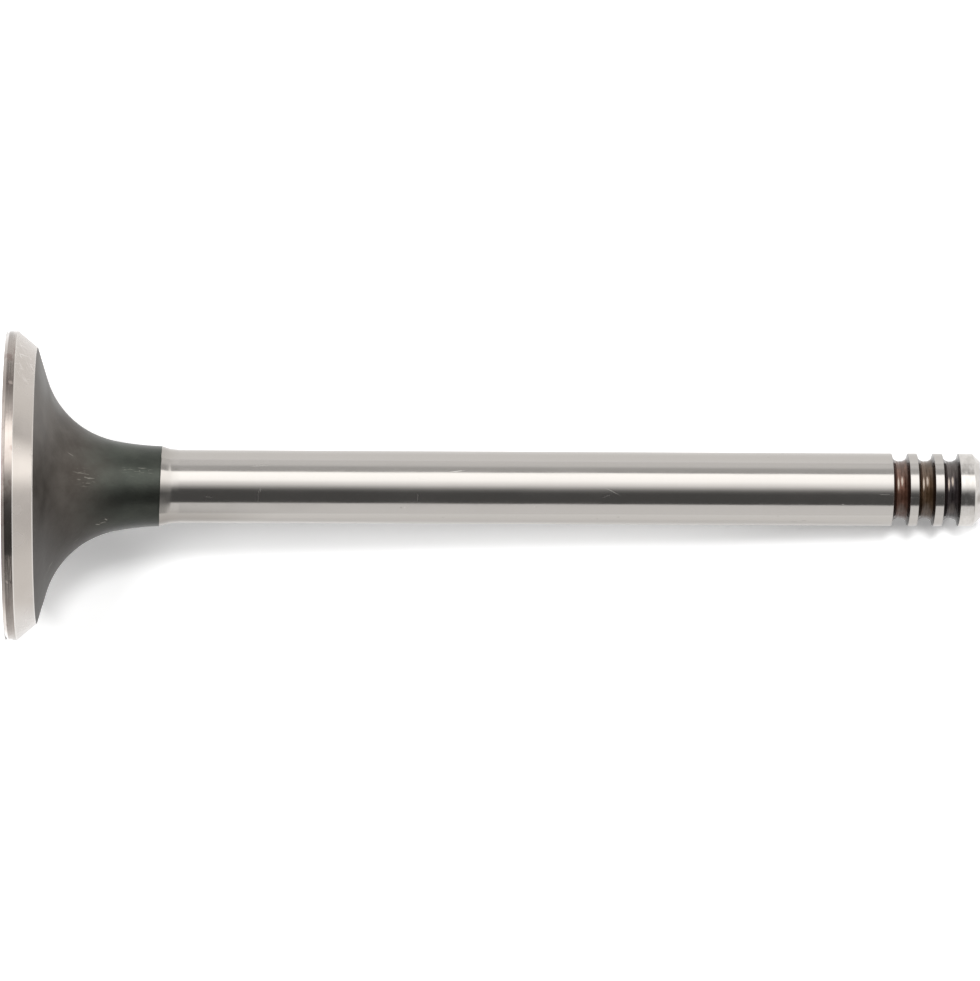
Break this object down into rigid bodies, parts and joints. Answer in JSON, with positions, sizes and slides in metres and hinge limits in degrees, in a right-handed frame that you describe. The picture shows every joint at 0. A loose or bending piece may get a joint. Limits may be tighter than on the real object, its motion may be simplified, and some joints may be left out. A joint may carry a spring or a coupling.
{
  "type": "engine valve",
  "caption": "Poppet valve for a piston engine, with a flat round head, ground seat, flared neck, straight ground stem and keeper grooves at the tip.",
  "frame": {"origin": "centre of the flat combustion face, which the valve stands on", "axes": "+Z along the stem from the head to the tip; +X and +Y are alike, because the valve is turned about Z"},
  "size_m": [0.0337, 0.0336, 0.1066],
  "materials": {
    "valve_steel": "ground stem and seat, dark as-forged neck"
  },
  "bodies": {
    "root": {"valve": "valve_steel"}
  },
  "joints": []
}
